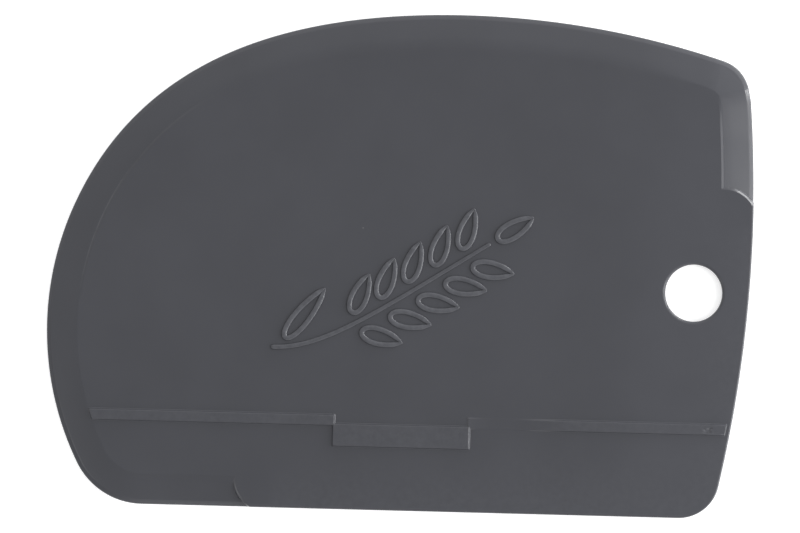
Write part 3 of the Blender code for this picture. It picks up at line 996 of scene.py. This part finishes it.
def polypropylene():
    """Dyed polypropylene, injection-moulded"""
    # The eye sees an even dark grey with a broad satin sheen, a faint mottle left by the flow of the
    # melt,
    # a very fine mould grain, light specks of dust, and paler plastic where edges are rubbed. Painted
    # light:
    # the grey is painted a hair paler towards the right-hand end, nearest the lights, and a painted
    # highlight line along the lip's left crease takes the paler colour too.
    finish = bpy.context.scene.scraper_finish
    material = bpy.data.materials.new("polypropylene_moulded")
    material.use_nodes = True
    tree = material.node_tree
    shader = tree.nodes["Principled BSDF"]
    node = partial(add_node, tree)
    shader.inputs["IOR"].default_value = 1.49
    place = node("ShaderNodeTexCoord").outputs["Object"]

    # Sizes in millimetres: the melt's mottle, patches of wear, the satin's unevenness and the grain.
    # A spark-eroded mould leaves a grain of about 0.1 mm. It is drawn at 0.35 mm, which shows.
    mottle, breakup, sheen, grain = [
        node("ShaderNodeTexNoise",
             {"Vector": place, "Scale": 1 / (across * MM), "Detail": detail, "Roughness": gain})
        for across, detail, gain in (
            (16.0, 3.0, 0.5), (1.1, 4.0, 0.65), (4.0, 5.0, 0.6), (0.35, 2.0, 0.5)
        )
    ]
    # These noises lie mostly between 0.3 and 0.7
    share = node(MAP_RANGE, (mottle, 0.35, 0.65, 0.965, 1.035))
    along = node("ShaderNodeSeparateXYZ", (place,)).outputs["X"]
    # Painted light: a hair paler towards the right-hand end, which lies nearest the lights
    painted_light_to_right = node(MAP_RANGE, (along, 32 * MM, 50 * MM, 1.0, 1.13), interpolation_type="SMOOTHSTEP")
    tone = node(MATH, (share, painted_light_to_right), operation="MULTIPLY")
    plain = node("ShaderNodeMix", {0: 1.0, 6: (*finish.colour, 1.0), 7: tone},
                 data_type="RGBA", blend_type="MULTIPLY")

    # The rubbed attribute carries wear and, on the plate, a painted highlight line; both take the paler
    # colour
    rubbed = node("ShaderNodeAttribute", attribute_name="rubbed").outputs["Fac"]
    patchy = node(MAP_RANGE, (breakup, 0.35, 0.65, 0.4, 1.3))
    rubbed_and_highlit = node(MATH, (rubbed, patchy), operation="MULTIPLY", use_clamp=True)
    toned = node("ShaderNodeMix", {0: rubbed_and_highlit, 6: plain.outputs[2], 7: (*finish.rubbed_colour, 1.0)},
                 data_type="RGBA")

    # One speck of dust in each cell, 0.07 to 0.13 mm in radius
    cell = 9 * MM
    dust = node("ShaderNodeTexVoronoi", {"Vector": place, "Scale": 1 / cell, "Randomness": 1.0})
    speck = node(MAP_RANGE, (dust.outputs["Distance"], 0.07 * MM / cell, 0.13 * MM / cell, 0.4, 0.0))
    dusted = node("ShaderNodeMix", {0: speck, 6: toned.outputs[2], 7: (*finish.dust_colour, 1.0)},
                  data_type="RGBA")
    tree.links.new(dusted.outputs[2], shader.inputs["Base Color"])

    satin = node(MAP_RANGE, (sheen, 0.3, 0.7, finish.roughness - 0.025, finish.roughness + 0.025))
    polished = node(MATH, (rubbed_and_highlit, -0.04, satin), operation="MULTIPLY_ADD")
    tree.links.new(polished.outputs[0], shader.inputs["Roughness"])

    bump = node("ShaderNodeBump", {"Strength": 0.25, "Distance": 0.004 * MM, "Height": grain})
    tree.links.new(bump.outputs[0], shader.inputs["Normal"])
    return material


def shared_plastic():
    """The plastic, made once for all pieces"""
    return bpy.data.materials.get("polypropylene_moulded") or polypropylene()


def stroke_profile(node, size):
    """Section of a raised line: a bar with sloping sides and a rounded top, half of it sunk"""
    top_width = node(MATH, (size["Stroke Width"], STROKE_TOP), operation="MULTIPLY")
    foot_width = node(MATH, (size["Stroke Width"], STROKE_FOOT), operation="MULTIPLY")
    height = node(MATH, (size["Stroke Rise"], 2.0), operation="MULTIPLY")
    bar = node(
        "GeometryNodeCurvePrimitiveQuadrilateral",
        {"Height": height, "Bottom Width": foot_width, "Top Width": top_width, "Offset": 0.0},
        mode="TRAPEZOID",
    )
    radius = node(MATH, (size["Stroke Width"], STROKE_FILLET), operation="MULTIPLY")
    rounded = node("GeometryNodeFilletCurve", {"Curve": bar, "Radius": radius, "Count": 5}, mode="POLY")
    return node("GeometryNodeSubdivideCurve", (rounded, 1))


def raised_line(node, curve, profile, size):
    """Mesh of a raised line along an open curve, with round ends"""
    even = node("GeometryNodeResampleCurve", {"Curve": curve, "Length": STROKE_STEP}, mode="LENGTH")
    level = node("GeometryNodeSetCurveNormal", (even,), mode="Z_UP")
    along = node("GeometryNodeSplineParameter")
    whole = node("GeometryNodeSplineLength")
    left = node(MATH, (whole, along.outputs["Length"]), operation="SUBTRACT")
    nearer = node(MATH, (along.outputs["Length"], left), operation="MINIMUM")
    half = node(MATH, (size["Stroke Width"], 0.5), operation="MULTIPLY")
    # The line keeps a twentieth of its width at its very ends, so that they stay clean
    end = node("GeometryNodeGroup", (nearer, half, 0.95), node_tree=quarter_round())
    rounded = node(MATH, (1.0, end), operation="SUBTRACT")
    taper = node(MAP_RANGE, (along.outputs["Factor"], 0.0, 1.0, *STROKE_TAPER))
    scale = node(MATH, (rounded, taper), operation="MULTIPLY")
    return node(
        "GeometryNodeCurveToMesh",
        {"Curve": level, "Profile Curve": profile, "Scale": scale, "Fill Caps": True},
    )


def drop_line(node, profile, size, length, width, root):
    """Mesh of a drop's outline along +X, round at its root, with a thin and pointed tip"""
    circle = node("GeometryNodeCurvePrimitiveCircle", {"Resolution": DROP_SIDES, "Radius": 1.0})
    place = node("GeometryNodeInputPosition")
    axes = node("ShaderNodeSeparateXYZ", (place,))
    half_length = node(MATH, (length, 0.5), operation="MULTIPLY")
    centre = node(MATH, (half_length, root), operation="ADD")
    x = node(MATH, (axes.outputs["X"], half_length, centre), operation="MULTIPLY_ADD")
    from_tip = node(MATH, (axes.outputs["X"], -0.5, 0.5), operation="MULTIPLY_ADD", use_clamp=True)
    drawn_in = node(MATH, (from_tip, DROP_POINT), operation="POWER")
    share = node(MATH, (axes.outputs["Y"], drawn_in), operation="MULTIPLY")
    half_width = node(MATH, (width, DROP_HALF_WIDTH), operation="MULTIPLY")
    y = node(MATH, (share, half_width), operation="MULTIPLY")
    shaped = node("ShaderNodeCombineXYZ", (x, y, 0.0))
    outline = node("GeometryNodeSetPosition", {"Geometry": circle, "Position": shaped})
    even = node("GeometryNodeResampleCurve", {"Curve": outline, "Length": STROKE_STEP}, mode="LENGTH")
    level = node("GeometryNodeSetCurveNormal", (even,), mode="Z_UP")
    tip = node(MATH, (centre, half_length), operation="ADD")
    to_tip = node(MATH, (tip, axes.outputs["X"]), operation="SUBTRACT")
    scale = node(MAP_RANGE, (to_tip, 0.0, size["Stroke Width"], DROP_TIP, 1.0))
    return node("GeometryNodeCurveToMesh", {"Curve": level, "Profile Curve": profile, "Scale": scale})


def placed_along(node, seats, piece, lean, chosen=True):
    """Instances of a piece at points of the stem, leaned away from its direction"""
    turn = node("ShaderNodeCombineXYZ", (0.0, 0.0, lean))
    straight = node("FunctionNodeAlignRotationToVector",
                    {"Vector": seats.outputs["Tangent"]}, axis="X", pivot_axis="Z")
    leaned = node("FunctionNodeRotateRotation",
                  {"Rotation": straight, "Rotate By": turn}, rotation_space="LOCAL")
    return node(
        "GeometryNodeInstanceOnPoints",
        {
            "Points": seats.outputs["Points"], "Selection": chosen, "Instance": piece,
            "Rotation": leaned,
        },
    )


def ear_tree(material, values):
    """Geometry Nodes: a wheat ear of raised lines, its kernels set in pairs along a curved stem"""
    tree, given, result = new_tree("wheat_ear", socket_kinds(values), {"Geometry": "NodeSocketGeometry"})
    node = partial(add_node, tree)
    size = given.outputs
    profile = stroke_profile(node, size)
    stem = node(
        "GeometryNodeCurvePrimitiveBezierSegment",
        {
            "Start": size["Stem Start"], "Start Handle": size["Stem First Handle"],
            "End Handle": size["Stem Last Handle"], "End": size["Stem Tip"],
            "Resolution": STEM_STEPS,
        },
    )
    kernel, leaf = [
        drop_line(node, profile, size, *(size[f"{name} {of}"] for of in ("Length", "Width", "Root")))
        for name in ("Kernel", "Leaf")
    ]

    upper = node("GeometryNodeTrimCurve", {"Curve": stem, 2: size["Ear From"], 3: size["Ear To"]})
    count = node(MATH, (size["Pairs"], 1.0), operation="ADD")
    seats = node("GeometryNodeCurveToPoints", {"Curve": upper, "Count": count})
    number = node("GeometryNodeInputIndex")
    paired = node(MATH, (number, size["Pairs"]), operation="LESS_THAN")
    lean = node(MATH, (size["Kernel Lean"], paired), operation="MULTIPLY")
    other_lean = node(MATH, (lean, -1.0), operation="MULTIPLY")
    above_leaf = node("GeometryNodeTrimCurve", {"Curve": stem, 2: size["Leaf At"], 3: 1.0})
    leaf_seat = node("GeometryNodeCurveToPoints", {"Curve": above_leaf, "Count": 1})

    joined = node("GeometryNodeJoinGeometry")
    for made in (
        raised_line(node, stem, profile, size),
        placed_along(node, seats, kernel, lean),
        placed_along(node, seats, kernel, other_lean, paired),
        placed_along(node, leaf_seat, leaf, size["Leaf Lean"]),
    ):
        tree.links.new(made.outputs[0], joined.inputs[0])
    place = node("GeometryNodeInputPosition")
    above = node("ShaderNodeVectorMath", (place, size["Stem Start"]), operation="SUBTRACT")
    height = node("ShaderNodeSeparateXYZ", (above,)).outputs["Z"]
    half_rise = node(MATH, (size["Stroke Rise"], 0.5), operation="MULTIPLY")
    rubbed = node(MAP_RANGE, (height, half_rise, size["Stroke Rise"], 0.0, RUBBED_LINES))
    painted = finished(node, joined, rubbed, material)
    tree.links.new(painted.outputs[0], result.inputs["Geometry"])
    return tree


class SCRAPER_OT_plate(bpy.types.Operator):
    """Build the moulded plate in place of its plain solid"""

    bl_idname = "scraper.build_plate"
    bl_label = "Build Plate"

    def execute(self, context):
        values = {
            "Thickness": THICKNESS, "Lip Width": LIP_WIDTH, "Tab Right": TAB_RIGHT,
            "Step From": RIGHT / 2, "Dents Centre": (DENTS_CENTRE.real, DENTS_CENTRE.imag, 0.0),
            "Dents Reach": DENTS_REACH, **group_values(context.scene.scraper_plate),
        }
        tree = relief_tree(shared_plastic(), values)
        plate = grown_piece("moulded_plate", plan_mesh(), tree, values)
        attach(plate, "root")
        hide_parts("scraper_plate")
        return {"FINISHED"}


class SCRAPER_OT_wheat_ear(bpy.types.Operator):
    """Emboss a wheat ear on the front face"""

    bl_idname = "scraper.emboss_wheat_ear"
    bl_label = "Emboss Wheat Ear"

    def execute(self, context):
        values = {
            name: (*value, THICKNESS) if name.startswith("Stem ") else value
            for name, value in group_values(context.scene.scraper_ear).items()
        }
        tree = ear_tree(shared_plastic(), values)
        ear = grown_piece("raised_wheat_ear", bpy.data.meshes.new("wheat_ear_seed"), tree, values)
        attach(ear, "root")
        return {"FINISHED"}


def floor_material(colour, glow):
    """Opal acrylic of a light table"""
    # The eye sees an even, nearly white surface without gloss that swallows most shadows.
    material = bpy.data.materials.new("acrylic_opal_matt")
    material.use_nodes = True
    tree = material.node_tree
    shader = tree.nodes["Principled BSDF"]
    node = partial(add_node, tree)
    place = node("ShaderNodeTexCoord").outputs["Object"]
    noise = node("ShaderNodeTexNoise", {"Vector": place, "Scale": 1 / (60 * MM)})
    share = node(MAP_RANGE, (noise, 0.3, 0.7, 0.99, 1.01))
    tone = node("ShaderNodeMix", {0: 1.0, 6: (*colour, 1.0), 7: share},
                data_type="RGBA", blend_type="MULTIPLY")
    tree.links.new(tone.outputs[2], shader.inputs["Base Color"])
    shader.inputs["Roughness"].default_value = 0.9
    shader.inputs["Specular IOR Level"].default_value = 0.2
    shader.inputs["Emission Color"].default_value = (1.0, 1.0, 1.0, 1.0)
    shader.inputs["Emission Strength"].default_value = glow
    return material


def soft_light(name, turn, lean, width, height, power):
    """Area light that faces the plate, turned from +X and leaned from straight above in degrees"""
    lamp = bpy.data.lights.new(name, "AREA")
    lamp.shape = "RECTANGLE"
    lamp.size = width
    lamp.size_y = height
    lamp.energy = power
    made = bpy.data.objects.new(name, lamp)
    level = rect(sin(radians(lean)) * LIGHT_DISTANCE, radians(turn))
    made.location = (level.real, level.imag, cos(radians(lean)) * LIGHT_DISTANCE)
    made.rotation_euler = made.location.to_track_quat("Z", "Y").to_euler()
    made.visible_camera = False
    bpy.context.scene.collection.objects.link(made)


def studio_world(zenith, horizon):
    """Room light: dim above, brighter to the right and the horizon, dim past the lower left corner"""
    world = bpy.data.worlds.new("studio")
    world.use_nodes = True
    tree = world.node_tree
    sky = tree.nodes["Background"]
    node = partial(add_node, tree)
    direction = node("ShaderNodeTexCoord").outputs["Generated"]
    axes = node("ShaderNodeSeparateXYZ", (direction,))
    right_gain = 0.35
    to_right = node(MATH, (axes.outputs["X"], right_gain * horizon, horizon), operation="MULTIPLY_ADD")
    to_corner = node(MATH, (axes.outputs["X"], axes.outputs["Y"]), operation="ADD")
    # Low beyond the lower left-hand corner the room is darker
    shade = node(MAP_RANGE, (to_corner, -1.3, -0.8, 0.4, 1.0))
    around = node(MATH, (to_right, shade), operation="MULTIPLY")
    # The plate's flat face mirrors what is above: a little brighter on the upper right-hand side
    above = node(MAP_RANGE, (to_corner, -0.12, 0.12, 0.9 * zenith, 1.14 * zenith))
    # The dim part reaches further from straight above on the side of the straight edge
    wide, narrow, full = [cos(radians(lean)) for lean in (28.0, 9.0, 41.0)]
    ramp_start = node(MAP_RANGE, (axes.outputs["Y"], -0.3, 0.0, wide, narrow))
    strength = node(MAP_RANGE, (axes.outputs["Z"], ramp_start, full, above, around))
    tree.links.new(strength.outputs[0], sky.inputs["Strength"])
    sky.inputs["Color"].default_value = (1.0, 1.0, 1.0, 1.0)
    return world


class SCRAPER_OT_stage(bpy.types.Operator):
    """Set the floor, the lights and the camera"""

    bl_idname = "scraper.set_stage"
    bl_label = "Set Stage"

    def execute(self, context):
        scene = context.scene
        studio = scene.scraper_studio
        mesh = bpy.data.meshes.new("floor")
        signs = ((-1, -1), (1, -1), (1, 1), (-1, 1))
        corners = [(x * FLOOR_HALF, y * FLOOR_HALF, 0.0) for x, y in signs]
        mesh.from_pydata(corners, [], [(0, 1, 2, 3)])
        mesh.materials.append(floor_material(studio.floor_colour, studio.floor_glow))
        floor = bpy.data.objects.new("floor", mesh)
        scene.collection.objects.link(floor)

        for name, turn, lean, width, height, power in LIGHTS:
            soft_light(name, turn, lean, width, height, getattr(studio, power))
        scene.world = studio_world(studio.zenith, studio.horizon)
        scene.view_settings.view_transform = "Standard"

        camera = bpy.data.cameras.new("camera")
        camera.lens = LENS
        camera.sensor_width = SENSOR_WIDTH
        made = bpy.data.objects.new("camera", camera)
        away = SEEN_WIDTH * LENS / SENSOR_WIDTH
        made.location = (SEEN_CENTRE.real, SEEN_CENTRE.imag, SEEN_HEIGHT + away)
        made.rotation_euler = (0.0, 0.0, SEEN_TURN)
        scene.collection.objects.link(made)
        scene.camera = made
        return {"FINISHED"}


class SCRAPER_PT_panel(bpy.types.Panel):
    """Sizes, colours and building steps of the dough scraper"""

    bl_idname = "SCRAPER_PT_panel"
    bl_label = "Dough Scraper"
    bl_space_type = "VIEW_3D"
    bl_region_type = "UI"
    bl_category = "Dough Scraper"

    def draw(self, context):
        groups = {
            "scraper.build_plate": ("scraper_plate", "scraper_finish"),
            "scraper.emboss_wheat_ear": ("scraper_ear",),
            "scraper.set_stage": ("scraper_studio",),
        }
        for operator, names in groups.items():
            box = self.layout.box()
            for name in names:
                group = getattr(context.scene, name)
                for label in type(group).__annotations__:
                    box.prop(group, label)
            box.operator(operator)


PROPERTY_GROUPS = {
    "scraper_plate": PlateSizes,
    "scraper_ear": EarSizes,
    "scraper_finish": Finish,
    "scraper_studio": Studio,
}
OPERATORS = (SCRAPER_OT_plate, SCRAPER_OT_wheat_ear, SCRAPER_OT_stage)


def register():
    for name, group in PROPERTY_GROUPS.items():
        bpy.utils.register_class(group)
        setattr(bpy.types.Scene, name, PointerProperty(type=group))
    for made in (*OPERATORS, SCRAPER_PT_panel):
        bpy.utils.register_class(made)


def unregister():
    for made in (SCRAPER_PT_panel, *reversed(OPERATORS)):
        bpy.utils.unregister_class(made)
    for name, group in PROPERTY_GROUPS.items():
        delattr(bpy.types.Scene, name)
        bpy.utils.unregister_class(group)


def main():
    register()
    bpy.ops.scraper.build_plate()
    bpy.ops.scraper.emboss_wheat_ear()
    bpy.ops.scraper.set_stage()


if __name__ == "__main__":
    main()
